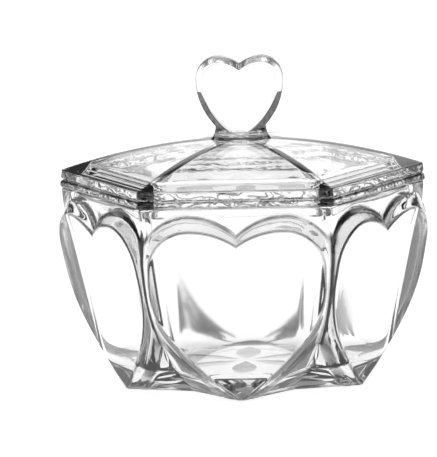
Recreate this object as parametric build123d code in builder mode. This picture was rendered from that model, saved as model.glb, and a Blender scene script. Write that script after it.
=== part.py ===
from build123d import *
import math
import os

# Hexagonal pressed-crystal trinket box with six heart panels, a domed hexagonal lid and a heart knob.
# Frame: millimetres, +Z up, origin on the table at the middle of the base.
# Two opposite corners of the hexagon lie on X, and a face with its heart looks along -Y.

# --- driving dimensions -------------------------------------------------------------------------
sides = 6
face_angle = -90.0  # direction of the first face, measured about Z

# body
body_height = 79.6
rim_corner_radius = 74.4  # from the axis to the narrow strip at each corner of the rim
rim_corner_strip = 1.7  # half width of that strip
rim_flat_setback = 0.08  # how far the middle of each side of the rim lies behind its ends
rim_wall = 6.4  # thickness of the rim
rim_rounding = 1.0
floor_height = 7.6

# heart panels: six leaning bevelled blocks that run from the table almost to the rim
heart_plane_foot = 55.7  # distance from the axis to a panel at the table
heart_overhang = 6.55  # how far a panel's plane passes outside the rim's flat at rim height
heart_top_margin = 8.7  # along the panel, from the top of the heart to the height of the rim
relief = 3.5  # how far the panels stand proud of the wall behind them
heart_block_root = 2.1  # how deep a panel's block goes into the wall
bevel_angle = 38.0  # degrees between the bevel round a heart and the panel's normal

# outline of a panel heart, each length a share of the heart's height
heart_half_width_share = 0.4855
shoulder_share = 0.2234
crown_share = 0.4359
side_straight_share = 0.0869
flank_share = 0.5517
tip_share = 1.7241
flank_sweep = 38.0

# wall behind the hearts: share of the body's height, how far behind the panel's plane, half the
# flat on each face as a share of its distance from the axis, corner radius as a share of the
# rim's, and half the strip at the corner
wall_levels = [
    (0.0, relief, 0.0651, 0.5457, 0.4),
    (0.1005, relief, 0.2528, 0.6653, 0.4),
    (0.2513, relief, 0.4555, 0.8065, 0.4),
    (0.4020, relief, 0.5563, 0.9032, 0.5),
    (0.5653, relief, 0.5612, 0.9543, 0.6),
    (0.7286, relief, 0.5509, 0.9866, 0.8),
    (0.8543, 3.0, 0.1657, 0.9892, 1.2),
]
rim_flat_share = 0.3067

# inside of the body: share of the way from the floor to the rim, thickness of the wall there behind
# the panels, and corner rounding as a share of the distance to the flat
cavity_levels = [
    (0.0, 13.7, 0.300),
    (0.1028, 8.4, 0.225),
    (0.2833, 8.5, 0.213),
    (0.5056, 8.8, 0.210),
    (0.7556, 9.1, 0.207),
]
rim_inner_rounding_share = 0.204
rim_inner_draft = 0.6  # how far the inside closes in from the rim to just below the lid's flange

# star cut into the underside of the base
petal_length = 33.0
petal_depth = 1.6
petal_width = 10.0
petal_centre = 20.5  # distance from the axis to the middle of a petal

# lid
lid_overhang = 1.6  # of the lid's sharp corner beyond the rim's corner strip
lid_edge_height = 6.9
lid_edge_draft = 6.0
lid_crown = 12.2  # rise of the dome from the top of the edge to the middle
lid_thickness = 5.0
lid_corner_flat = 2.0
rib_flat = 1.2  # cut along each crease of the dome
flange_depth = 5.0
flange_thickness = 3.6
flange_clearance = 1.0
seat_drop = 0.6  # depth of the flat that the knob stands on, below the top of the dome

# knob
knob_half_width = 18.0
knob_height = 34.2  # from the seat to the top of the lobes
knob_thickness = 13.0
knob_bevel_depth_share = 0.277  # of the thickness
# outline of the knob's heart and its bevel, each length a share of its half width
knob_shoulder_share = 0.5056
knob_crown_share = 0.8167
knob_flank_share = 1.5556
knob_tip_share = 0.5
knob_bevel_run_share = 0.1444
# foot and neck under the heart: height over the seat, share of the half width, share of the thickness
foot_levels = [(0.0, 0.689, 0.692), (1.6, 0.622, 0.569), (4.5, 0.583, 0.477), (8.0, 0.583, 0.431)]

# --- values that follow from them -----------------------------------------------------------------
corner_turn = math.radians(180.0 / sides)  # from the middle of a face to its corner
rim_corner_apothem = rim_corner_radius * math.cos(corner_turn) + rim_corner_strip * math.sin(corner_turn)
rim_apothem = rim_corner_apothem - rim_flat_setback
heart_plane_rim = rim_apothem + heart_overhang
lean = math.atan2(heart_plane_rim - heart_plane_foot, body_height)
heart_height = body_height / math.cos(lean) - heart_top_margin
heart_block_depth = relief + heart_block_root

rim_inner_apothem = rim_apothem - rim_wall
rim_inner_rounding = rim_inner_rounding_share * rim_inner_apothem
flange_pocket_height = body_height - flange_depth - 2 * flange_clearance
lid_corner_radius = rim_corner_radius + lid_overhang
lid_edge_apothem = lid_corner_radius * math.cos(corner_turn)
lid_edge_top_apothem = lid_edge_apothem - lid_edge_height * math.tan(math.radians(lid_edge_draft))
lid_top = body_height + lid_edge_height + lid_crown
seat_height = lid_top - seat_drop
flange_apothem = rim_inner_apothem - flange_clearance
flange_rounding = rim_inner_rounding - flange_clearance
knob_half_thickness = knob_thickness / 2
knob_bevel_start = knob_half_thickness - knob_bevel_depth_share * knob_thickness
knob_bevel_run = knob_bevel_run_share * knob_half_width

far = 200.0  # longer than any piece, for the cutting shapes
level_tolerance = 0.01  # for finding edges that lie at one height


def at_angle(radius, degrees):
    """The point at this distance from the axis, in this direction."""
    return (radius * math.cos(math.radians(degrees)), radius * math.sin(math.radians(degrees)))


def face_point(apothem, across, degrees):
    """The point on a face looking in this direction, so far out and so far across."""
    out = at_angle(apothem, degrees)
    side = at_angle(across, degrees + 90.0)
    return (out[0] + side[0], out[1] + side[1])


def plane_apothem(height):
    """Distance from the axis to the plane of a heart panel at this height."""
    return heart_plane_foot + height * math.tan(lean)


def wall_outline(apothem, half_flat, corner_radius, strip):
    """The closed outline of the wall at one height: a flat on each face and a strip at each corner."""
    corner_apothem = corner_radius * math.cos(corner_turn) + strip * math.sin(corner_turn)
    corner_across = corner_radius * math.sin(corner_turn) - strip * math.cos(corner_turn)
    points = []
    for k in range(sides):
        direction = face_angle + 360.0 / sides * k
        points.append(face_point(corner_apothem, -corner_across, direction))
        points.append(face_point(apothem, -half_flat, direction))
        points.append(face_point(apothem, half_flat, direction))
        points.append(face_point(corner_apothem, corner_across, direction))
    return points


def heart_outline(half_width, shoulder, crown, straight, flank, sweep, tip, grow=0.0):
    """Half a heart with its tip at the origin before growing: a start point, then (middle, end) of
    each arc and the end of the straight side. Growing adds to every radius about the same centre."""
    turn = math.radians(sweep)
    flank_across = half_width - flank
    tip_across = flank_across + (flank - tip) * math.cos(turn)
    tip_up = math.sqrt(tip**2 - tip_across**2)
    flank_up = tip_up + (flank - tip) * math.sin(turn)
    shoulder_across = half_width - shoulder
    shoulder_up = flank_up + straight
    crown_up = shoulder_up + shoulder - crown

    def on(across, up, radius, angle):
        reach = radius + grow
        return (across + reach * math.cos(angle), up + reach * math.sin(angle))

    notch_angle = math.acos(-shoulder_across / (crown + grow))
    tip_angle = -math.acos(-tip_across / (tip + grow))
    top = math.pi / 2
    return {
        "notch": on(shoulder_across, crown_up, crown, notch_angle),
        "crown_mid": on(shoulder_across, crown_up, crown, (notch_angle + top) / 2),
        "crown_top": on(shoulder_across, crown_up, crown, top),
        "shoulder_mid": on(shoulder_across, shoulder_up, shoulder, top / 2),
        "side_top": on(shoulder_across, shoulder_up, shoulder, 0.0),
        "side_foot": on(flank_across, flank_up, flank, 0.0),
        "flank_mid": on(flank_across, flank_up, flank, -turn / 2),
        "flank_foot": on(flank_across, flank_up, flank, -turn),
        "tip_mid": on(tip_across, tip_up, tip, (tip_angle - turn) / 2),
        "tip": on(tip_across, tip_up, tip, tip_angle),
    }


def draw_heart(outline):
    """Draws the heart in the line builder that is open: its right half, then the left one."""
    for side in (1, -1):
        at = {name: (side * across, up) for name, (across, up) in outline.items()}
        ThreePointArc(at["notch"], at["crown_mid"], at["crown_top"])
        ThreePointArc(at["crown_top"], at["shoulder_mid"], at["side_top"])
        if at["side_top"] != at["side_foot"]:
            Line(at["side_top"], at["side_foot"])
        ThreePointArc(at["side_foot"], at["flank_mid"], at["flank_foot"])
        ThreePointArc(at["flank_foot"], at["tip_mid"], at["tip"])


def panel_heart(grow):
    shares = (
        heart_half_width_share,
        shoulder_share,
        crown_share,
        side_straight_share,
        flank_share,
    )
    lengths = [share * heart_height for share in shares]
    return heart_outline(*lengths, flank_sweep, tip_share * heart_height, grow)


def knob_heart(grow):
    """The knob's heart, whose sides run tangentially into a round tip."""
    shoulder = knob_shoulder_share * knob_half_width
    crown = knob_crown_share * knob_half_width
    flank = knob_flank_share * knob_half_width
    tip = knob_tip_share * knob_half_width
    sweep = math.degrees(math.acos((flank - knob_half_width) / (flank - tip)))
    return heart_outline(knob_half_width, shoulder, crown, 0.0, flank, sweep, tip, grow)


def heart_plane(direction):
    """The leaning plane of one heart panel, its origin at the foot and its normal outwards."""
    across = at_angle(1.0, direction + 90.0)
    out = at_angle(math.cos(lean), direction)
    return Plane(
        origin=(*at_angle(heart_plane_foot, direction), 0.0),
        x_dir=(*across, 0.0),
        z_dir=(*out, -math.sin(lean)),
    )


def arch_height(apothem):
    """Height of the dome over a face at this distance from the axis."""
    rise = lid_crown
    radius = (lid_edge_top_apothem**2 + rise**2) / (2 * rise)
    return lid_top - radius + math.sqrt(radius**2 - apothem**2)


def arch_plane(direction, lift):
    """The upright plane that an arch of the dome is drawn on, its X along the way a face looks."""
    along = at_angle(1.0, direction)
    behind = at_angle(-1.0, direction + 90.0)
    return Plane(origin=(0, 0, lift), x_dir=(*along, 0), z_dir=(*behind, 0))


def draw_arch(foot):
    """Draws one arch of the dome in the line builder that is open, down to this height."""
    reach = lid_edge_apothem + lid_overhang
    ThreePointArc((-reach, arch_height(reach)), (0, lid_top), (reach, arch_height(reach)))
    Polyline((reach, arch_height(reach)), (reach, foot), (-reach, foot), (-reach, arch_height(reach)))


os.makedirs("parts", exist_ok=True)
face_directions = [face_angle + 360.0 / sides * k for k in range(sides)]

# --- box body -----------------------------------------------------------------------------------
with BuildPart() as box_body:
    # wall behind the hearts, from the star-shaped foot up to the hexagonal rim
    for level, behind, flat_share, corner_share, strip in wall_levels:
        height = level * body_height
        apothem = plane_apothem(height) - behind
        with BuildSketch(Plane.XY.offset(height)):
            with BuildLine():
                corner = corner_share * rim_corner_radius
                Polyline(*wall_outline(apothem, flat_share * apothem, corner, strip), close=True)
            make_face()
    with BuildSketch(Plane.XY.offset(body_height)):
        with BuildLine():
            rim_half_flat = rim_flat_share * rim_apothem
            outline = wall_outline(rim_apothem, rim_half_flat, rim_corner_radius, rim_corner_strip)
            Polyline(*outline, close=True)
        make_face()
    loft(ruled=True)

    # inside, a rounded hexagon that closes to nearly a circle at the floor
    for level, thickness, rounding_share in cavity_levels:
        height = floor_height + level * (body_height - floor_height)
        apothem = plane_apothem(height) - relief - thickness
        with BuildSketch(Plane.XY.offset(height)) as section:
            RegularPolygon(apothem, sides, major_radius=False)
            fillet(section.vertices(), rounding_share * apothem)
    for height, draft in ((flange_pocket_height, rim_inner_draft), (body_height, 0.0)):
        with BuildSketch(Plane.XY.offset(height)) as section:
            RegularPolygon(rim_inner_apothem - draft, sides, major_radius=False)
            fillet(section.vertices(), rim_inner_rounding)
    loft(mode=Mode.SUBTRACT)
    rim = box_body.edges().filter_by(lambda edge: abs(edge.center().Z - body_height) < level_tolerance)
    fillet(rim, rim_rounding)

    # six heart panels, each a bevelled block that grows as it goes into the wall
    for direction in face_directions:
        panel = heart_plane(direction)
        for depth in (0.0, heart_block_depth):
            with BuildSketch(panel.offset(-depth)):
                with BuildLine():
                    draw_heart(panel_heart(depth * math.tan(math.radians(bevel_angle))))
                make_face()
        loft(ruled=True)
    split(bisect_by=Plane.XY, keep=Keep.TOP)

    # star cut: each petal is where a wheel with a V edge touches the underside
    wheel_radius = (petal_length**2 / 4 + petal_depth**2) / (2 * petal_depth)
    wheel_drop = wheel_radius - petal_depth
    wheel_half_width = petal_width / 2 * wheel_radius / petal_depth
    for direction in face_directions:
        hub = at_angle(petal_centre, direction)
        along = at_angle(1.0, direction)
        axle = at_angle(1.0, direction + 90.0)
        wheel = Plane(origin=(*hub, -wheel_drop), x_dir=(*axle, 0.0), z_dir=(*along, 0.0))
        with BuildSketch(wheel):
            with BuildLine():
                Polyline((-wheel_half_width, 0), (0, wheel_radius), (wheel_half_width, 0), close=True)
            make_face()
        revolve(axis=Axis(wheel.origin, wheel.x_dir), mode=Mode.SUBTRACT)
box_body.part.label = "box_body"
export_step(box_body.part, "parts/box_body.step")

# --- lid ----------------------------------------------------------------------------------------
with BuildPart() as lid_block:
    with BuildSketch(Plane.XY.offset(body_height)):
        RegularPolygon(lid_corner_radius, sides)
    extrude(amount=lid_top - body_height, taper=lid_edge_draft)
    block_middle = (body_height + lid_top) / 2
    corners = lid_block.edges().filter_by(
        lambda edge: abs(edge.center().Z - block_middle) < level_tolerance
    )
    chamfer(corners, lid_corner_flat)

    # dome: three crossing arches leave one curved facet over each face
    for direction in face_directions[: sides // 2]:
        with BuildSketch(arch_plane(direction, 0.0)):
            with BuildLine():
                draw_arch(body_height)
            make_face()
        extrude(amount=far, both=True, mode=Mode.INTERSECT)
    curves = lid_block.edges().filter_by(GeomType.ELLIPSE)
    chamfer(curves.filter_by(lambda edge: edge.length > lid_corner_radius / 2), rib_flat)
    split(bisect_by=Plane.XY.offset(seat_height), keep=Keep.BOTTOM)

    # flange that drops inside the rim
    with BuildSketch(Plane.XY.offset(body_height)) as flange:
        RegularPolygon(flange_apothem, sides, major_radius=False)
        fillet(flange.vertices(), flange_rounding)
    extrude(amount=-flange_depth)

with BuildPart() as lid_hollow:
    with BuildSketch(Plane.XY.offset(body_height - flange_depth)) as opening:
        RegularPolygon(flange_apothem - flange_thickness, sides, major_radius=False)
        fillet(opening.vertices(), flange_rounding - flange_thickness)
    extrude(amount=far)
    for direction in face_directions[: sides // 2]:
        with BuildSketch(arch_plane(direction, -lid_thickness)):
            with BuildLine():
                draw_arch(0.0)
            make_face()
        extrude(amount=far, both=True, mode=Mode.INTERSECT)

with BuildPart() as lid:
    add(lid_block.part)
    add(lid_hollow.part, mode=Mode.SUBTRACT)
lid.part.label = "lid"
export_step(lid.part, "parts/lid.step")

# --- heart knob ---------------------------------------------------------------------------------
with BuildPart() as heart_knob:
    # bevelled heart plate, front and back halves
    tip_height = seat_height + knob_height - knob_heart(0.0)["crown_top"][1]
    facing = Plane(origin=(0, 0, tip_height), x_dir=(1, 0, 0), z_dir=(0, -1, 0))
    for side in (1, -1):
        with BuildSketch(facing):
            with BuildLine():
                draw_heart(knob_heart(0.0))
            make_face()
        extrude(amount=side * knob_bevel_start)
        for depth, grow in ((knob_bevel_start, 0.0), (knob_half_thickness, -knob_bevel_run)):
            with BuildSketch(facing.offset(side * depth)):
                with BuildLine():
                    draw_heart(knob_heart(grow))
                make_face()
        loft(ruled=True)

    # oval foot and neck that the plate stands in
    for height, width_share, depth_share in foot_levels:
        with BuildSketch(Plane.XY.offset(seat_height + height)):
            Ellipse(width_share * knob_half_width, depth_share * knob_thickness)
    loft()
    split(bisect_by=Plane.XY.offset(seat_height), keep=Keep.TOP)
heart_knob.part.label = "heart_knob"
export_step(heart_knob.part, "parts/heart_knob.step")
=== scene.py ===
import math

import bpy
import numpy as np
from mathutils import Matrix, Vector


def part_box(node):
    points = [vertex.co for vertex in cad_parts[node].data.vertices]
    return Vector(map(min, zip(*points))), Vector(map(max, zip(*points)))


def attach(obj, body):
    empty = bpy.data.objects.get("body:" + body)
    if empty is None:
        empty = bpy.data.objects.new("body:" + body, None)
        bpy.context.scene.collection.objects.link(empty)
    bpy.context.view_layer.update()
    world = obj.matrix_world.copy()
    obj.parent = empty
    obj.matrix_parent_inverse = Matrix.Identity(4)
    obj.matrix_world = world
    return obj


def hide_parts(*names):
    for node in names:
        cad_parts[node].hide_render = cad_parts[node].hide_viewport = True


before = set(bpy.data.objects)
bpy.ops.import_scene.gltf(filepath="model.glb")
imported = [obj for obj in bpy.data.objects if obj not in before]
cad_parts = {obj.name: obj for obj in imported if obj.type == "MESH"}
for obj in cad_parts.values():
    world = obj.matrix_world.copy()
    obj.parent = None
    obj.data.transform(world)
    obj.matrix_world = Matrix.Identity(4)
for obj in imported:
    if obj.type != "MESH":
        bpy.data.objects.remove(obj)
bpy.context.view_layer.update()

# The crystal is worked out in millimetres and its meshes are written in metres.
# The stage, the lights and the camera are in metres.
MM = 0.001
BODY_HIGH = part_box("box_body")[1]
LID_LOW, LID_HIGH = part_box("lid")
KNOB_LOW, KNOB_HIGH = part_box("heart_knob")

# --- shared proportions ---------------------------------------------------------------------------
SIDES = 6
TURN = math.pi / SIDES  # from the middle of a face to its corner
FIRST_FACE = -math.pi / 2
BODY_HEIGHT = BODY_HIGH[2] / MM
LID_CORNER = LID_HIGH[0] / MM
FLANGE_FOOT = LID_LOW[2] / MM
SEAT_HEIGHT = KNOB_LOW[2] / MM
KNOB_TOP = KNOB_HIGH[2] / MM
FAR = 9.0  # a distance from any crease that is too far to show


def smooth_min(a, b, width):
    """The smaller of two values, rounded where they are closer than width."""
    near = np.maximum(width - np.abs(a - b), 0.0) / width
    return np.minimum(a, b) - near * near * width / 4


def smooth_max(a, b, width):
    """The larger of two values, rounded where they are closer than width."""
    return -smooth_min(-a, -b, width)


def smooth_curve(knots, values, at):
    """A curve through the knots that never overshoots them (monotone cubic)."""
    knots, values, at = (np.asarray(x, float) for x in (knots, values, at))
    step = np.diff(knots)
    slope = np.diff(values) / step
    tangent = np.zeros_like(values)
    same = slope[:-1] * slope[1:] > 0
    total = slope[:-1] + slope[1:]
    tangent[1:-1][same] = 2 * slope[:-1][same] * slope[1:][same] / total[same]
    tangent[0], tangent[-1] = slope[0], slope[-1]
    i = np.clip(np.searchsorted(knots, at) - 1, 0, len(step) - 1)
    t = (at - knots[i]) / step[i]
    t2, t3 = t * t, t**3
    return (
        (2 * t3 - 3 * t2 + 1) * values[i]
        + (t3 - 2 * t2 + t) * step[i] * tangent[i]
        + (3 * t2 - 2 * t3) * values[i + 1]
        + (t3 - t2) * step[i] * tangent[i + 1]
    )


# --- hexagonal rings ------------------------------------------------------------------------------
PER_TURN = 80  # columns from the middle of a face to its corner
COLUMNS = 2 * SIDES * PER_TURN
CORNER_CROWDING = 0.25  # how much closer together the columns are towards a corner
ROUNDEST = 0.98  # the largest corner rounding, as a share of the distance to the face
STRIP_BLEND = 0.5  # rounding between a face and the strip cut along a corner


def sector_angles():
    """Angles from the middle of a face to its corner, closer together towards the corner."""
    share = np.linspace(0.0, 1.0, PER_TURN + 1)
    return TURN * ((1 + CORNER_CROWDING) * share - CORNER_CROWDING * share * share)


SECTOR = sector_angles()


def all_round(sector_values):
    """Repeats values known from the middle of a face to its corner round the whole hexagon."""
    there = sector_values[..., :-1]
    back = sector_values[..., :0:-1]
    return np.concatenate([there, back] * SIDES, axis=-1)


def all_angles():
    """The direction of every column of a ring."""
    there = SECTOR[:-1]
    back = 2 * TURN - SECTOR[:0:-1]
    one = np.concatenate([there, back])
    return np.concatenate([one + 2 * TURN * k for k in range(SIDES)]) + FIRST_FACE


ANGLES = all_angles()


def hexagon(apothem, rounding, strip):
    """Radius over one sector of a hexagon with rounded corners, cut back by strip at each corner."""
    rounding = min(rounding, ROUNDEST * apothem)
    centre = (apothem - rounding) / math.cos(TURN)
    off_corner = TURN - SECTOR
    flat = apothem / np.cos(SECTOR)
    inside = np.maximum(rounding**2 - (centre * np.sin(off_corner)) ** 2, 0.0)
    arc = centre * np.cos(off_corner) + np.sqrt(inside)
    on_flat = apothem * np.tan(SECTOR) < centre * math.sin(TURN)
    radius = np.where(on_flat, flat, arc)
    if strip > 0:
        cut = (apothem / math.cos(TURN) - strip) / np.cos(off_corner)
        radius = smooth_min(radius, cut, STRIP_BLEND)
    return radius


def ring(sector_radius, height):
    """One closed ring of points: radius over a sector, height as a number or over a sector."""
    radius = all_round(sector_radius)
    z = all_round(np.broadcast_to(np.asarray(height, float), SECTOR.shape))
    return np.stack([radius * np.cos(ANGLES), radius * np.sin(ANGLES), z], axis=-1)


def ring_mesh(name, rings, marks):
    """A closed mesh through rings of points, with a fan to a point at each end.

    marks gives named values at every ring point, kept on the mesh for its material."""
    rings = np.asarray(rings)
    rows, columns, _ = rings.shape
    ends = [rings[0].mean(axis=0), rings[-1].mean(axis=0)]
    points = np.concatenate([rings.reshape(-1, 3), ends]) * MM
    first_end, last_end = rows * columns, rows * columns + 1
    column = np.arange(columns)
    beside = (column + 1) % columns
    row = np.arange(rows - 1)[:, None] * columns
    corners = (row + column, row + beside, row + columns + beside, row + columns + column)
    quads = np.stack(corners, axis=-1).reshape(-1, 4)
    last = (rows - 1) * columns
    first_fan = np.stack([np.full(columns, first_end), beside, column], axis=-1)
    last_fan = np.stack([np.full(columns, last_end), last + column, last + beside], axis=-1)
    loops = np.concatenate([quads.ravel(), first_fan.ravel(), last_fan.ravel()])
    sizes = np.concatenate([np.full(len(quads), 4), np.full(2 * columns, 3)])
    starts = np.concatenate([[0], np.cumsum(sizes)[:-1]])
    mesh = bpy.data.meshes.new(name)
    mesh.vertices.add(len(points))
    mesh.vertices.foreach_set("co", points.astype(np.float32).ravel())
    mesh.loops.add(len(loops))
    mesh.loops.foreach_set("vertex_index", loops.astype(np.int32))
    mesh.polygons.add(len(sizes))
    mesh.polygons.foreach_set("loop_start", starts.astype(np.int32))
    mesh.polygons.foreach_set("use_smooth", np.ones(len(sizes), bool))
    mesh.update(calc_edges=True)
    for mark, values in marks.items():
        values = np.concatenate([np.asarray(values).ravel(), [values[0][0], values[-1][0]]])
        attribute = mesh.attributes.new(mark, "FLOAT", "POINT")
        attribute.data.foreach_set("value", values.astype(np.float32))
    piece = bpy.data.objects.new(name, mesh)
    bpy.context.scene.collection.objects.link(piece)
    return piece


# --- heart outlines -------------------------------------------------------------------------------
def heart_arcs(half_width, shoulder, crown, straight, flank, tip, sweep=None):
    """The arc centres of half a heart with its tip at the origin.

    The radii are those of the arcs from the notch down to the tip, with a straight stretch between
    shoulder and flank. With no sweep for the flank's arc, the tip is round."""
    if sweep is None:
        sweep = math.acos((flank - half_width) / (flank - tip))
    flank_across = half_width - flank
    tip_across = flank_across + (flank - tip) * math.cos(sweep)
    tip_up = math.sqrt(tip**2 - tip_across**2)
    flank_up = tip_up + (flank - tip) * math.sin(sweep)
    shoulder_up = flank_up + straight
    across = half_width - shoulder
    return {
        "crown": (across, shoulder_up + shoulder - crown, crown),
        "shoulder": (across, shoulder_up, shoulder),
        "flank": (flank_across, flank_up, flank),
        "tip": (tip_across, tip_up, tip),
        "sweep": sweep,
        "half_width": half_width,
    }


def heart_distance(heart, across, up):
    """How far outside the heart each point is, negative inside."""
    across = np.abs(across)

    def from_arc(name):
        x, y, radius = heart[name]
        return np.hypot(across - x, up - y) - radius

    shoulder_x, shoulder_y, _ = heart["shoulder"]
    flank_x, flank_y, _ = heart["flank"]
    turn = np.arctan2(flank_y - up, across - flank_x)
    lower = np.where(turn < heart["sweep"], from_arc("flank"), from_arc("tip"))
    upper = np.where(across < shoulder_x, from_arc("crown"), from_arc("shoulder"))
    beside = across - heart["half_width"]
    return np.where(up > shoulder_y, upper, np.where(up > flank_y, beside, lower))


def heart_ring(heart, grow, per_arc):
    """Points round the heart when every arc's radius grows by this much, from the notch clockwise."""

    def arc(name, start, end):
        x, y, radius = heart[name]
        angles = np.linspace(start, end, per_arc, endpoint=False)
        reach = radius + grow
        return np.stack([x + reach * np.cos(angles), y + reach * np.sin(angles)], axis=-1)

    crown_x, _, crown = heart["crown"]
    tip_x, tip_y, tip = heart["tip"]
    notch = math.acos(-crown_x / (crown + grow))
    point = -math.acos(np.clip(-tip_x / (tip + grow), -1.0, 1.0))
    half = [
        arc("crown", notch, math.pi / 2),
        arc("shoulder", math.pi / 2, 0.0),
        arc("flank", 0.0, -heart["sweep"]),
        arc("tip", -heart["sweep"], point),
    ]
    bottom = [[tip_x + (tip + grow) * math.cos(point), tip_y + (tip + grow) * math.sin(point)]]
    right = np.concatenate([*half, bottom])
    left = right[-2:0:-1] * [-1.0, 1.0]
    return np.concatenate([right, left])


# --- the box --------------------------------------------------------------------------------------
PANEL_FOOT = 55.7  # from the axis to a heart panel at the table
PANEL_LEAN = math.radians(11.4)
PANEL_BEVEL = math.radians(38.0)
PANEL_SWEEP = math.radians(38.0)
PANEL_HEART = heart_arcs(
    half_width=35.2, shoulder=16.2, crown=31.6, straight=6.3, flank=40.0, tip=125.0, sweep=PANEL_SWEEP
)
PANEL_BLOCK_DEPTH = 5.6  # of the block that carries a heart, behind the heart's face
PANEL_EDGE_ROUND = 0.7
PANEL_ROOT_ROUND = 1.4
RIM_ROUND = 1.2
FOOT_ROUND = 0.7

# wall behind the hearts: height, distance to the flat, half width of the flat, corner radius, half strip
WALL = np.array([
    (0.0, 52.2, 3.4, 40.6, 0.4),
    (8.0, 53.8, 13.6, 49.5, 0.4),
    (20.0, 56.2, 25.6, 60.0, 0.4),
    (32.0, 58.6, 32.6, 67.2, 0.5),
    (45.0, 61.3, 34.4, 71.0, 0.6),
    (58.0, 63.9, 35.2, 73.4, 0.8),
    (68.0, 66.4, 11.0, 73.6, 1.2),
    (BODY_HEIGHT, 65.2, 20.0, 74.4, 1.7),
])
WALL_SLANT = 0.9  # distance to the slanting wall, as a share of the distance along the radius

# inside of the box, from the rim down to the middle of the floor: distance to the flat, height, rounding
RIM_INNER = 58.8
FLOOR_HEIGHT = 7.6
CAVITY = np.array([
    (RIM_INNER, BODY_HEIGHT - RIM_ROUND, 12.0),
    (58.2, 72.6, 12.0),
    (55.6, 62.0, 11.5),
    (52.3, 44.0, 11.0),
    (49.3, 28.0, 10.5),
    (47.1, 16.5, 10.5),
    (45.2, 11.0, 12.0),
    (41.0, 8.2, 13.0),
    (35.0, FLOOR_HEIGHT, 13.0),
    (16.0, FLOOR_HEIGHT, 8.0),
    (0.5, FLOOR_HEIGHT, 0.4),
])

# star cut under the base
PETAL_LENGTH = 33.0
PETAL_DEPTH = 1.6
PETAL_WIDTH = 10.0
PETAL_CENTRE = 20.5  # from the axis to the middle of a petal

# rings of the mesh, and the search for the outside
UNDERSIDE_ROWS = 64
FOOT_ROWS = 6
OUTSIDE_ROWS = 190
RIM_ROWS = 8
INSIDE_ROWS = 130
SEARCH_FROM, SEARCH_TO = 25.0, 90.0  # radii that are always inside and always outside
SEARCH_STEPS = 40


def wall_radius(height):
    """Radius of the wall behind the hearts over one sector, at heights of shape (rows, 1)."""
    flat, half, corner, strip = (smooth_curve(WALL[:, 0], WALL[:, k], height) for k in range(1, 5))
    strip_out = corner * math.cos(TURN) + strip * math.sin(TURN)
    strip_across = corner * math.sin(TURN) - strip * math.cos(TURN)
    angle = SECTOR[None, :]
    on_flat = flat / np.cos(angle)
    run_out, run_across = strip_out - flat, strip_across - half
    slant = (flat * run_across - half * run_out) / (np.cos(angle) * run_across - np.sin(angle) * run_out)
    on_strip = corner / np.cos(TURN - angle)
    radius = np.where(np.tan(angle) < half / flat, on_flat, slant)
    return np.where(np.tan(angle) > strip_across / strip_out, on_strip, radius)


def panel_field(radius, angle, height):
    """Below zero inside the leaning, bevelled block that carries one heart.

    The second value is above zero on the heart's flat face and below zero on its bevel."""
    out, across = radius * np.cos(angle), radius * np.sin(angle)
    lean_cos, lean_sin = math.cos(PANEL_LEAN), math.sin(PANEL_LEAN)
    proud = (out - PANEL_FOOT) * lean_cos - height * lean_sin
    up = (out - PANEL_FOOT) * lean_sin + height * lean_cos
    off_bevel = heart_distance(PANEL_HEART, across, up) + proud * math.tan(PANEL_BEVEL)
    edge = off_bevel * math.cos(PANEL_BEVEL)
    block = np.maximum(smooth_max(proud, edge, PANEL_EDGE_ROUND), -proud - PANEL_BLOCK_DEPTH)
    return block, proud - edge


def body_outer_radius(heights):
    """The outside of the box over one sector, one row for each height.

    Gives the radius, the second value of panel_field there, and the distance to the nearest crease."""
    height = np.asarray(heights, float)[:, None]
    angle = SECTOR[None, :]
    wall = wall_radius(height)
    low = np.full(wall.shape, SEARCH_FROM)
    high = np.full(wall.shape, SEARCH_TO)
    for _ in range(SEARCH_STEPS):
        middle = (low + high) / 2
        here, on_face = panel_field(middle, angle, height)
        beyond, _ = panel_field(middle, 2 * TURN - angle, height)
        panels = smooth_min(here, beyond, PANEL_ROOT_ROUND)
        off_wall = (middle - wall) * WALL_SLANT
        field = smooth_min(panels, off_wall, PANEL_ROOT_ROUND)
        low = np.where(field < 0, middle, low)
        high = np.where(field < 0, high, middle)
    root = panels - off_wall
    valley = np.abs(here - beyond) + np.maximum(root, 0.0)
    line = np.minimum(np.minimum(np.abs(on_face), np.abs(root)), valley)
    return (low + high) / 2, on_face, line


def petal_height(x, y):
    """How far the star cut rises above the underside at each point."""
    wheel = (PETAL_LENGTH**2 / 4 + PETAL_DEPTH**2) / (2 * PETAL_DEPTH)
    edge_half = PETAL_WIDTH / 2 * wheel / PETAL_DEPTH
    rise = np.zeros_like(x)
    for k in range(SIDES):
        direction = FIRST_FACE + 2 * TURN * k
        along = x * math.cos(direction) + y * math.sin(direction) - PETAL_CENTRE
        across = np.abs(y * math.cos(direction) - x * math.sin(direction))
        reach = wheel * (1 - across / edge_half)
        inside = np.maximum(reach**2 - along**2, 0.0)
        rise = np.maximum(rise, np.sqrt(inside) - (wheel - PETAL_DEPTH))
    return rise


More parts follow.
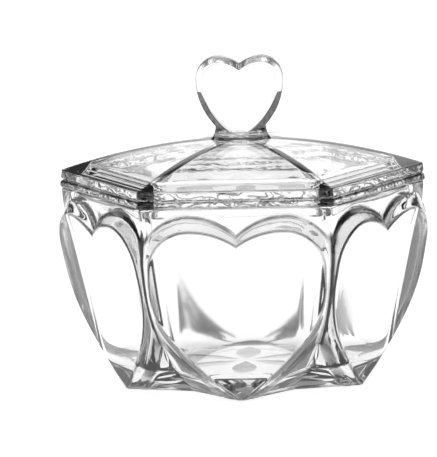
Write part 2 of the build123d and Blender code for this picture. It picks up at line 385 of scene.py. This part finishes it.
def make_box():
    """The box's rings: underside, foot, outside, rim, inside and floor, in one closed surface."""
    rings, faces, lines, cuts = [], [], [], []

    def add(points, face=-FAR, line=FAR, cut=0.0):
        rings.append(points)
        faces.append(all_round(np.broadcast_to(face, SECTOR.shape)))
        lines.append(all_round(np.broadcast_to(line, SECTOR.shape)))
        cuts.append(np.broadcast_to(cut, COLUMNS))

    # underside, from its middle out to the rounded foot
    foot = body_outer_radius([FOOT_ROUND])[0][0]
    for share in [0.004, *np.linspace(0.03, 0.93, UNDERSIDE_ROWS), 0.97]:
        flat = ring((foot - FOOT_ROUND) * share, 0.0)
        flat[:, 2] = petal_height(flat[:, 0], flat[:, 1])
        add(flat, cut=flat[:, 2] > 0)
    for angle in np.linspace(0.0, math.pi / 2, FOOT_ROWS):
        add(ring(foot - FOOT_ROUND * (1 - math.sin(angle)), FOOT_ROUND * (1 - math.cos(angle))))
    # outside, up to the rounded rim
    heights = np.linspace(FOOT_ROUND, BODY_HEIGHT - RIM_ROUND, OUTSIDE_ROWS)
    outside, on_face, line = body_outer_radius(heights)
    for row in range(1, OUTSIDE_ROWS):
        add(ring(outside[row], heights[row]), on_face[row], line[row])
    for angle in np.linspace(0.0, math.pi / 2, RIM_ROWS)[1:]:
        radius = outside[-1] - RIM_ROUND * (1 - math.cos(angle))
        add(ring(radius, BODY_HEIGHT - RIM_ROUND * (1 - math.sin(angle))))
    inner = hexagon(CAVITY[0, 0], CAVITY[0, 2], 0.0)
    for angle in np.linspace(math.pi / 2, 0.0, RIM_ROWS)[:-1]:
        radius = inner + RIM_ROUND * (1 - math.cos(angle))
        add(ring(radius, BODY_HEIGHT - RIM_ROUND * (1 - math.sin(angle))))
    # inside, down the wall and over the floor
    steps = np.hypot(np.diff(CAVITY[:, 0]), np.diff(CAVITY[:, 1]))
    reached = np.concatenate([[0.0], np.cumsum(steps)])
    along = np.linspace(0.0, reached[-1], INSIDE_ROWS)
    apothems, levels, roundings = (smooth_curve(reached, CAVITY[:, k], along) for k in range(3))
    for apothem, level, rounding in zip(apothems, levels, roundings):
        add(ring(hexagon(apothem, rounding, 0.0), level))
    return ring_mesh("crystal_box", rings, {"face": faces, "line": lines, "cut": cuts})


# --- the lid --------------------------------------------------------------------------------------
LID_EDGE_HEIGHT = 6.9
LID_EDGE_DRAFT = math.radians(6.0)
LID_CROWN = 12.2
LID_THICKNESS = 5.0
LID_SHARP = 0.3  # rounding of the outside's corners
LID_EDGE_STRIP = 1.0  # how far each corner of the upright edge is cut back
LID_RIB_STRIP = 0.66  # how far each rib of the dome is cut back
RIB_TAPER = 0.05  # share of the distance to the face that a rib is cut back near the middle
RIB_STEP = 0.06  # from ring to ring round the top edge, from the rib's strip to the edge's
LID_EDGE_APOTHEM = (LID_CORNER + LID_EDGE_STRIP) * math.cos(TURN)
LID_TOP_APOTHEM = LID_EDGE_APOTHEM - LID_EDGE_HEIGHT * math.tan(LID_EDGE_DRAFT)
LID_REST = BODY_HEIGHT + 0.05  # glass on glass never quite touches
LID_TOP = BODY_HEIGHT + LID_EDGE_HEIGHT + LID_CROWN
SEAT_BLEND = 0.12  # rounding between the dome and the flat under the knob
FLANGE_CLEARANCE = 1.0
FLANGE_APOTHEM = RIM_INNER - FLANGE_CLEARANCE
FLANGE_ROUNDING = 11.0
FLANGE_THICKNESS = 3.6
EDGE_ROUND = 0.7
HOLLOW_ROUND = 2.0  # where the flange meets the underside of the dome
HOLLOW_RISE = 0.45  # of that rounding's centre, because the dome slopes there
HOLLOW_CORNER = 0.5  # corner rounding of the hollow under the dome
HOLLOW_FADE = 8.0  # the flange's corner rounding is gone an eighth of the way to the middle
TOP_GAP = 0.2  # gaps in the profile: from the dome to its rounded edge,
REST_GAP = 0.1  # from the underside to the flange,
FOOT_GAP = 0.5  # from the flange's rounded foot to its inside,
HOLLOW_GAP = 0.6  # and from the hollow's rounding to the underside of the dome
INNERMOST = 0.5  # distance to the face of the ring nearest the axis
DOME_ROWS = 110
EDGE_ROWS = 45
REST_ROWS = 8
FLANGE_ROWS = 8
FLANGE_INNER_ROWS = 12
HOLLOW_ROWS = 90

# creases along which dark lines of painted shade are drawn, with the width of each as a multiple of the
# usual one
TOP_CREASE_WEIGHT = 1.0
FOOT_CREASE_WEIGHT = 1.6
EDGE_CREASE_WEIGHT = 1.3
CREASE_INSET = 0.2
EDGE_CREASE_HEIGHT = BODY_HEIGHT + 3.1  # a fine crease pressed along the upright edge
EDGE_CREASE_DEPTH = 0.8
EDGE_CREASE_WIDTH = 0.6


def dome_height(apothem):
    """Height of the dome's outside at this distance to the face."""
    radius = (LID_TOP_APOTHEM**2 + LID_CROWN**2) / (2 * LID_CROWN)
    return LID_TOP - radius + np.sqrt(radius**2 - np.asarray(apothem, float) ** 2)


def corner_arc(centre_out, centre_up, radius, start, end, count=6):
    """Points of a rounded edge in the profile, as (distance to the flat, height)."""
    turns = [math.radians(degrees) for degrees in np.linspace(start, end, count)]
    return [(centre_out + radius * math.cos(turn), centre_up + radius * math.sin(turn)) for turn in turns]


def make_lid():
    """The lid's profile carried round the hexagon: (distance to flat, height, rounding, corner strip)."""
    profile = []
    # dome, from the seat out to the edge
    top_edge = LID_TOP_APOTHEM - EDGE_ROUND
    for apothem in np.linspace(INNERMOST, top_edge - TOP_GAP, DOME_ROWS):
        height = smooth_min(dome_height(apothem), np.asarray(SEAT_HEIGHT), SEAT_BLEND)
        profile.append((apothem, float(height), LID_SHARP, min(LID_RIB_STRIP, apothem * RIB_TAPER)))
    rim_height = float(dome_height(top_edge))
    strip = LID_RIB_STRIP
    for out, up in corner_arc(top_edge, rim_height - EDGE_ROUND, EDGE_ROUND, 78, 5):
        strip = min(LID_EDGE_STRIP, strip + RIB_STEP)
        profile.append((out, up, LID_SHARP, strip))
    # upright edge and the underside that rests on the rim
    for share in np.linspace(0.02, 0.98, EDGE_ROWS):
        out = LID_TOP_APOTHEM + share * (LID_EDGE_APOTHEM - LID_TOP_APOTHEM)
        up = rim_height - EDGE_ROUND - share * (rim_height - 2 * EDGE_ROUND - BODY_HEIGHT)
        crease = EDGE_CREASE_DEPTH * math.exp(-(((up - EDGE_CREASE_HEIGHT) / EDGE_CREASE_WIDTH) ** 2))
        profile.append((out - crease, up, LID_SHARP, LID_EDGE_STRIP))
    outside_rows = len(profile)
    band_rows = range(outside_rows - EDGE_ROWS, outside_rows)
    lower_edge = LID_EDGE_APOTHEM - EDGE_ROUND
    for out, up in corner_arc(lower_edge, LID_REST + EDGE_ROUND, EDGE_ROUND, -5, -90):
        profile.append((out, up, LID_SHARP, LID_EDGE_STRIP))
    for share in np.linspace(0.1, 0.95, REST_ROWS):
        out = lower_edge + share * (FLANGE_APOTHEM - lower_edge)
        rounding = LID_SHARP + share * (FLANGE_ROUNDING - LID_SHARP)
        profile.append((out, LID_REST, rounding, LID_EDGE_STRIP * (1 - share)))
    # flange
    foot_up = FLANGE_FOOT + EDGE_ROUND
    for height in np.linspace(BODY_HEIGHT - REST_GAP, foot_up, FLANGE_ROWS):
        profile.append((FLANGE_APOTHEM, height, FLANGE_ROUNDING, 0.0))
    flange_inner = FLANGE_APOTHEM - FLANGE_THICKNESS
    inner_rounding = FLANGE_ROUNDING - FLANGE_THICKNESS
    for out, up in corner_arc(FLANGE_APOTHEM - EDGE_ROUND, foot_up, EDGE_ROUND, -15, -90):
        profile.append((out, up, FLANGE_ROUNDING - EDGE_ROUND, 0.0))
    for out, up in corner_arc(flange_inner + EDGE_ROUND, foot_up, EDGE_ROUND, -90, -180):
        profile.append((out, up, inner_rounding + EDGE_ROUND, 0.0))
    # hollow under the dome
    meet = float(dome_height(flange_inner)) - LID_THICKNESS
    for height in np.linspace(foot_up + FOOT_GAP, meet - HOLLOW_ROUND, FLANGE_INNER_ROWS):
        profile.append((flange_inner, height, inner_rounding, 0.0))
    round_up = meet - HOLLOW_ROUND + HOLLOW_RISE
    for out, up in corner_arc(flange_inner - HOLLOW_ROUND, round_up, HOLLOW_ROUND, 12, 68, 8):
        profile.append((out, up, inner_rounding, 0.0))
    under = np.linspace(flange_inner - HOLLOW_ROUND - HOLLOW_GAP, INNERMOST, HOLLOW_ROWS)
    for apothem in under:
        share = (under[0] - apothem) / under[0]
        rounding = inner_rounding * max(0.0, 1 - HOLLOW_FADE * share) + HOLLOW_CORNER
        profile.append((apothem, float(dome_height(apothem)) - LID_THICKNESS, rounding, 0.0))
    creases = [
        (LID_TOP_APOTHEM - CREASE_INSET, rim_height - CREASE_INSET, TOP_CREASE_WEIGHT),
        (LID_EDGE_APOTHEM - CREASE_INSET, LID_REST + CREASE_INSET, FOOT_CREASE_WEIGHT),
        (LID_EDGE_APOTHEM - EDGE_CREASE_DEPTH, EDGE_CREASE_HEIGHT, EDGE_CREASE_WEIGHT),
    ]
    rings, lines, bands = [], [], []
    for row, (apothem, height, rounding, strip) in enumerate(profile):
        radius = hexagon(apothem, rounding, strip)
        rings.append(ring(radius, height))
        line = min(math.hypot(apothem - out, height - up) / weight for out, up, weight in creases)
        if row < outside_rows:
            off_corner = radius * np.sin(TURN - SECTOR)
            line = np.minimum(line, np.abs(off_corner - strip * math.tan(2 * TURN)))
        lines.append(all_round(np.broadcast_to(line, SECTOR.shape)))
        bands.append(np.full(COLUMNS, float(row in band_rows)))
    return ring_mesh("crystal_lid", rings[::-1], {"line": lines[::-1], "band": bands[::-1]})


# --- the knob -------------------------------------------------------------------------------------
KNOB_HEART = heart_arcs(half_width=18.0, shoulder=9.1, crown=14.7, straight=0.0, flank=28.0, tip=9.0)
KNOB_HALF_THICKNESS = 6.5
KNOB_BEVEL_RUN = 2.6
KNOB_BEVEL_DEPTH = 3.6
KNOB_BAND = KNOB_HALF_THICKNESS - KNOB_BEVEL_DEPTH  # half width of the heart's plain edge
KNOB_SOFT_EDGE = [(0.9, 0.0), (0.35, 0.06)]  # inside the bevel: distance from it, fall of the face
KNOB_CREASES = [(0.0, KNOB_BAND, 2.0), (-KNOB_BEVEL_RUN, KNOB_HALF_THICKNESS, 0.8)]  # grow, y, weight
KNOB_MIDDLE = (0.0, 20.0)  # where the rings of a face close, above the heart's tip
KNOB_FACE_RINGS = (0.03, 0.2, 0.4, 0.6, 0.8, 0.93)  # shares of the way out from there
KNOB_PER_ARC = 24
KNOB_SINK = 0.2  # how far the foot is melted into the lid
KNOB_FOOT = [(0.0, 12.4, 9.0), (1.6, 11.2, 7.4), (4.5, 10.5, 6.2), (8.0, 10.5, 5.6)]  # height, two radii
FOOT_UNDERSIDE = (12.0, 8.6)
KNOB_FOOT_ROWS = 24
KNOB_FOOT_COLUMNS = 160


def knob_profile():
    """From the middle of the front face round the edge to the back, as (grow, y)."""
    inset = [(-KNOB_BEVEL_RUN - run, -KNOB_HALF_THICKNESS + fall) for run, fall in KNOB_SOFT_EDGE]
    bevel = [
        (-KNOB_BEVEL_RUN * (1 - share), -KNOB_HALF_THICKNESS + KNOB_BEVEL_DEPTH * share)
        for share in np.linspace(0, 1, 8)[1:]
    ]
    band = [(0.0, y) for y in np.linspace(-KNOB_BAND, KNOB_BAND, 7)[1:-1]]
    half = inset + bevel
    return half + band + [(grow, -y) for grow, y in half[::-1]]


def knob_plate():
    """The bevelled heart."""
    base = KNOB_TOP - KNOB_HEART["shoulder"][1] - KNOB_HEART["shoulder"][2]
    edge = knob_profile()

    def upright(outline, y):
        return np.column_stack([outline[:, 0], np.full(len(outline), y), outline[:, 1] + base])

    inner = heart_ring(KNOB_HEART, edge[0][0], KNOB_PER_ARC)
    front = [
        upright(KNOB_MIDDLE + (inner - KNOB_MIDDLE) * share, -KNOB_HALF_THICKNESS)
        for share in KNOB_FACE_RINGS
    ]
    sides = [upright(heart_ring(KNOB_HEART, grow, KNOB_PER_ARC), y) for grow, y in edge]
    back = [outline * [1.0, -1.0, 1.0] for outline in front[::-1]]
    near = [
        min(math.hypot(grow - at, abs(y) - up) / weight for at, up, weight in KNOB_CREASES)
        for grow, y in edge
    ]
    near = [FAR] * len(front) + near + [FAR] * len(back)
    lines = [np.full(len(inner), value) for value in near]
    return ring_mesh("crystal_knob", front + sides + back, {"line": lines})


def knob_foot():
    """The short oval foot under the heart."""
    turn = np.linspace(0.0, 2 * math.pi, KNOB_FOOT_COLUMNS, endpoint=False)

    def oval(width, depth, level):
        height = np.full(len(turn), SEAT_HEIGHT + level)
        return np.column_stack([width * np.cos(turn), depth * np.sin(turn), height])

    heights, wide, deep = zip(*KNOB_FOOT)
    levels = np.linspace(-KNOB_SINK, heights[-1], KNOB_FOOT_ROWS)
    widths, depths = smooth_curve(heights, wide, levels), smooth_curve(heights, deep, levels)
    width, depth = FOOT_UNDERSIDE
    rows = [oval(width * share, depth * share, -KNOB_SINK) for share in (0.1, 0.4, 0.7, 0.95)]
    rows += [oval(*sizes) for sizes in zip(widths, depths, levels)]
    rows += [oval(wide[-1] * share, deep[-1] * share, heights[-1]) for share in (0.7, 0.4, 0.1)]
    return ring_mesh("knob_foot", rows, {"line": np.full((len(rows), len(turn)), FAR)})


def make_knob():
    """The heart and its foot, joined in one closed surface."""
    plate = knob_plate()
    foot = knob_foot()
    join = plate.modifiers.new("foot", "BOOLEAN")
    join.operation = "UNION"
    join.solver = "EXACT"
    join.object = foot
    depsgraph = bpy.context.evaluated_depsgraph_get()
    joined = bpy.data.meshes.new_from_object(plate.evaluated_get(depsgraph))
    plate.modifiers.clear()
    plate.data = joined
    bpy.data.objects.remove(foot)
    return plate


# --- materials ------------------------------------------------------------------------------------
class Shading:
    """Short ways to add and join the nodes of one material or world."""

    def __init__(self, owner):
        owner.use_nodes = True
        self.nodes, self.links = owner.node_tree.nodes, owner.node_tree.links

    def add(self, kind, settings=None, **inputs):
        node = self.nodes.new(kind)
        for name, value in (settings or {}).items():
            setattr(node, name, value)
        for name, value in inputs.items():
            self.set(node, name.replace("_", " "), value)
        return node

    def set(self, node, socket, value):
        if isinstance(value, bpy.types.NodeSocket):
            self.links.new(value, node.inputs[socket])
        else:
            node.inputs[socket].default_value = value

    def math(self, operation, *values):
        node = self.add("ShaderNodeMath", {"operation": operation})
        for place, value in enumerate(values):
            self.set(node, place, value)
        return node.outputs["Value"]

    def span(self, value, ends, levels):
        """Carries a value from one pair of ends to a pair of levels with a soft step."""
        node = self.add("ShaderNodeMapRange", {"interpolation_type": "SMOOTHSTEP"}, Value=value)
        for socket, number in zip(("From Min", "From Max", "To Min", "To Max"), (*ends, *levels)):
            self.set(node, socket, number)
        return node.outputs["Result"]

    def noise(self, place, scale, **inputs):
        return self.add("ShaderNodeTexNoise", Vector=place, Scale=scale, **inputs).outputs["Fac"]

    def mark(self, name):
        return self.add("ShaderNodeAttribute", {"attribute_name": name}).outputs["Fac"]


GLASS_IOR = 1.54
GLASS_DENSITY = 3.0  # per metre
GLASS_WHITE = 0.99
UP, DOWN = (0.0, 1.0), (1.0, 0.0)

# fire-polished surface: scales per metre, heights in metres
RIPPLE_SCALE = 90.0
RIPPLE_HEIGHT = 0.00002
RIPPLE_SPREAD = (0.3, 0.7)
RIPPLE_ROUGHNESS = 0.012
CURL_SCALE = 220.0
CURL_HEIGHT = 0.00012

# painted shade along creases, for the dark lines that refraction draws there: mesh marks are in
# millimetres
LINE_HALF_WIDTH = 1.0
# how far the base colour is darkened at a crease: painted shade for the dark line that refraction draws
# there
LINE_PAINTED_SHADE = 0.97
LINE_FADE = ((0.35, 0.6), (0.7, 1.0))  # the ripple's values, and how strong a crease is there

# heart panels, by the mark that is above zero on the flat and below zero on the bevel
FLAT_HAZE = 0.12
FLAT_START = (0.4, 2.0)
BEVEL_START = (-0.5, 0.5)
BEVEL_END = (-8.0, -6.0)
SATIN_RISE = (0.018, 0.034)  # heights in metres: the panels are clear at the foot and satin above
CUT_EDGE = (0.2, 0.8)
CUT_FROST = 0.45
# painted shade: the frosted star cut's base colour is greyed, for the grey that its frosting shows under
# this light
CUT_PAINTED_SHADE = 0.4

# the lid's upright edge: pressed curls with outlines of painted shade
BAND_STRETCH = (0.55, 0.55, 1.2)  # its curls are longer than they are high
BAND_CURL = 1.2  # how far the noise is turned round itself
BAND_RELIEF = 0.0012
BAND_LINE = 0.1  # half width of an outline, in the noise's values
# painted shade of the curls' outlines, for the dark lines that their refraction draws
BAND_PAINTED_SHADE = 0.95


def panel_finish_and_shade(shading, place, rough, curl):
    """Satin flats, curly bevels and a frosted star cut: roughness, relief, and painted grey shade on the
    cut.
    """
    face = shading.mark("face")
    height_up = shading.add("ShaderNodeSeparateXYZ", Vector=place).outputs["Z"]
    on_flat = shading.span(face, FLAT_START, UP)
    satin = shading.math("MULTIPLY", on_flat, shading.span(height_up, SATIN_RISE, UP))
    rough = shading.math("ADD", rough, shading.math("MULTIPLY", satin, FLAT_HAZE))
    cut = shading.span(shading.mark("cut"), CUT_EDGE, UP)
    rough = shading.math("ADD", rough, shading.math("MULTIPLY", cut, CUT_FROST))
    off_flat = shading.span(face, BEVEL_START, DOWN)
    on_bevel = shading.math("MULTIPLY", off_flat, shading.span(face, BEVEL_END, UP))
    relief = shading.math("MULTIPLY", shading.math("MULTIPLY", curl, CURL_HEIGHT), on_bevel)
    return rough, relief, shading.math("MULTIPLY", cut, CUT_PAINTED_SHADE)


def band_relief_and_shade(shading, place):
    """Curls pressed along the lid's upright edge: relief, and outlines of painted shade for the dark
    lines of their refraction.
    """
    band = shading.mark("band")
    along = shading.add("ShaderNodeMapping", Vector=place, Scale=BAND_STRETCH).outputs["Vector"]
    loops = shading.noise(along, CURL_SCALE, Detail=1.0, Distortion=BAND_CURL)
    off_line = shading.math("ABSOLUTE", shading.math("SUBTRACT", loops, 0.5))
    # painted shade along the outlines of the curls
    outline = shading.span(off_line, (0.0, BAND_LINE), (BAND_PAINTED_SHADE, 0.0))
    relief = shading.math("MULTIPLY", shading.math("MULTIPLY", loops, BAND_RELIEF), band)
    return relief, shading.math("MULTIPLY", outline, band)


def crystal(name, panelled=False, banded=False):
    """Clear crystal glass with the faint ripple of a fire-polished pressing, and painted shade along its
    creases for the dark lines of refraction.
    """
    material = bpy.data.materials.new(name)
    shading = Shading(material)
    shader = shading.nodes["Principled BSDF"]
    shader.inputs["Transmission Weight"].default_value = 1.0
    shader.inputs["IOR"].default_value = GLASS_IOR
    geometry = shading.add("ShaderNodeNewGeometry")
    place = shading.add("ShaderNodeTexCoord").outputs["Object"]
    wave = shading.noise(place, RIPPLE_SCALE, Detail=2.0)
    rough = shading.span(wave, RIPPLE_SPREAD, (0.0, RIPPLE_ROUGHNESS))
    relief = shading.math("MULTIPLY", wave, RIPPLE_HEIGHT)
    # painted shade: the base colour darkens along the creases, where refraction would show dark lines
    crease = shading.span(shading.mark("line"), (0.0, LINE_HALF_WIDTH), (LINE_PAINTED_SHADE, 0.0))
    dark = shading.math("MULTIPLY", crease, shading.span(wave, *LINE_FADE))
    if banded:
        curls, outline = band_relief_and_shade(shading, place)
        relief = shading.math("ADD", relief, curls)
        dark = shading.math("MAXIMUM", dark, outline)
    from_outside = shading.math("SUBTRACT", 1.0, geometry.outputs["Backfacing"])
    dark = shading.math("MULTIPLY", dark, from_outside)
    if panelled:
        curl = shading.noise(place, CURL_SCALE, Detail=1.0)
        rough, curls, painted_cut_shade = panel_finish_and_shade(shading, place, rough, curl)
        relief = shading.math("ADD", relief, curls)
        # the star cut's painted grey shade joins the crease shade
        dark = shading.math("ADD", dark, painted_cut_shade)
    bump = shading.add("ShaderNodeBump", Strength=1.0, Distance=1.0, Height=relief)
    # the painted shade darkens the base colour of the glass
    shading.set(shader, "Base Color", shading.math("SUBTRACT", GLASS_WHITE, dark))
    shading.set(shader, "Normal", bump.outputs["Normal"])
    shading.set(shader, "Roughness", rough)
    black = (0.0, 0.0, 0.0, 1.0)
    volume = shading.add("ShaderNodeVolumeAbsorption", Color=black, Density=GLASS_DENSITY)
    shading.set(shading.nodes["Material Output"], "Volume", volume.outputs["Volume"])
    return material


def dress(piece, node, body, material):
    """Gives a piece its material and its place in the frame, and hides the CAD node that it stands for.
    """
    piece.data.materials.clear()
    piece.data.materials.append(material)
    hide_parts(node)
    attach(piece, body)


# --- stage ----------------------------------------------------------------------------------------
WHITE = (1.0, 1.0, 1.0, 1.0)
FLOOR_HALF = 6.0
FLOOR_GAP = 0.0004
FLOOR_WHITE = (0.9, 0.9, 0.9, 1.0)
FLOOR_ROUGHNESS = 0.9
FLOOR_GLOW = 0.75  # a light table under white acrylic


def make_floor():
    """A pale floor that glows softly from below."""
    corners = [(-FLOOR_HALF, -FLOOR_HALF), (FLOOR_HALF, -FLOOR_HALF)]
    corners += [(-x, -y) for x, y in corners]
    mesh = bpy.data.meshes.new("floor")
    mesh.from_pydata([(x, y, -FLOOR_GAP) for x, y in corners], [], [(0, 1, 2, 3)])
    floor = bpy.data.objects.new("floor", mesh)
    bpy.context.scene.collection.objects.link(floor)
    material = bpy.data.materials.new("floor_white")
    material.use_nodes = True
    shader = material.node_tree.nodes["Principled BSDF"]
    shader.inputs["Base Color"].default_value = FLOOR_WHITE
    shader.inputs["Roughness"].default_value = FLOOR_ROUGHNESS
    shader.inputs["Specular IOR Level"].default_value = 0.0
    shader.inputs["Emission Color"].default_value = WHITE
    shader.inputs["Emission Strength"].default_value = FLOOR_GLOW
    mesh.materials.append(material)


WINDOW_COUNT = 6  # one light window facing each side of the box
WINDOW_EDGE = (-0.1, -0.4)  # the cosine that repeats with the windows, from dark to bright at their sides
WINDOW_TOP = (0.45, 0.62)  # sine of the elevation where the windows fade out
OVERHEAD_START = (0.82, 0.9)  # sine of the elevation where the overhead softbox fades in
DARK_LEVEL = 0.12  # of the room between the windows and the softbox


def make_world():
    """Upright light windows round the table, dark between them, and a softbox overhead."""
    world = bpy.data.worlds.new("studio")
    bpy.context.scene.world = world
    shading = Shading(world)
    coords = shading.add("ShaderNodeTexCoord")
    split = shading.add("ShaderNodeSeparateXYZ", Vector=coords.outputs["Generated"])
    turn = shading.math("ARCTAN2", split.outputs["Y"], split.outputs["X"])
    wave = shading.math("COSINE", shading.math("MULTIPLY", turn, WINDOW_COUNT))
    windows = shading.span(wave, WINDOW_EDGE, UP)
    below_top = shading.span(split.outputs["Z"], WINDOW_TOP, DOWN)
    overhead = shading.span(split.outputs["Z"], OVERHEAD_START, (DARK_LEVEL, 1.0))
    level = shading.math("ADD", shading.math("MULTIPLY", windows, below_top), overhead)
    shading.set(shading.nodes["Background"], "Strength", level)
    shading.nodes["Background"].inputs["Color"].default_value = WHITE


LAMP_PLACE = (0.0, 0.3, 2.2)
LAMP_SIZE = 2.4
LAMP_WATTS = 8.0


def make_lamp():
    """A large soft lamp overhead, aimed at the foot of the box."""
    lamp = bpy.data.lights.new("overhead", "AREA")
    lamp.shape = "RECTANGLE"
    lamp.size, lamp.size_y = LAMP_SIZE, LAMP_SIZE
    lamp.energy = LAMP_WATTS
    holder = bpy.data.objects.new("overhead", lamp)
    holder.location = LAMP_PLACE
    holder.rotation_euler = (-Vector(LAMP_PLACE)).to_track_quat("-Z", "Y").to_euler()
    bpy.context.scene.collection.objects.link(holder)


# --- camera ---------------------------------------------------------------------------------------
CAMERA_DISTANCE = 1.65
CAMERA_AZIMUTH = math.radians(3.06)
CAMERA_ELEVATION = math.radians(9.59)
CAMERA_ROLL = math.radians(1.58)
CAMERA_LENS = 316.0
CAMERA_REACH = 50.0
AIM_BESIDE = -0.01028  # the picture's middle, to the left of the axis
AIM_HEIGHT = 0.06086


def make_camera():
    """A long lens a little above the table, turned and rolled a little."""
    side = Vector((math.cos(CAMERA_AZIMUTH), math.sin(CAMERA_AZIMUTH), 0.0))
    level = Vector((-math.sin(CAMERA_AZIMUTH), math.cos(CAMERA_AZIMUTH), 0.0))
    rise = Vector((0.0, 0.0, 1.0))
    away = level * math.cos(CAMERA_ELEVATION) - rise * math.sin(CAMERA_ELEVATION)
    up = level * math.sin(CAMERA_ELEVATION) + rise * math.cos(CAMERA_ELEVATION)
    rolled_side = side * math.cos(CAMERA_ROLL) - up * math.sin(CAMERA_ROLL)
    rolled_up = side * math.sin(CAMERA_ROLL) + up * math.cos(CAMERA_ROLL)
    place = side * AIM_BESIDE + rise * AIM_HEIGHT - away * CAMERA_DISTANCE
    data = bpy.data.cameras.new("camera")
    data.lens = CAMERA_LENS
    data.clip_end = CAMERA_REACH
    camera = bpy.data.objects.new("camera", data)
    turn = Matrix((rolled_side, rolled_up, -away)).transposed()
    camera.matrix_world = Matrix.Translation(place) @ turn.to_4x4()
    bpy.context.scene.collection.objects.link(camera)
    bpy.context.scene.camera = camera


# --- the scene ------------------------------------------------------------------------------------
LIGHT_BOUNCES = 24  # enough to see through two walls, the lid and the knob

make_camera()
make_floor()
make_world()
make_lamp()

dress(make_box(), "box_body", "body", crystal("crystal_body_glass", panelled=True))
dress(make_lid(), "lid", "lid", crystal("crystal_lid_glass", banded=True))
dress(make_knob(), "heart_knob", "lid", crystal("crystal_knob_glass"))

scene = bpy.context.scene
scene.view_settings.view_transform = "Standard"
scene.cycles.max_bounces = LIGHT_BOUNCES
scene.cycles.transmission_bounces = LIGHT_BOUNCES
scene.cycles.transparent_max_bounces = LIGHT_BOUNCES
scene.cycles.use_denoising = True
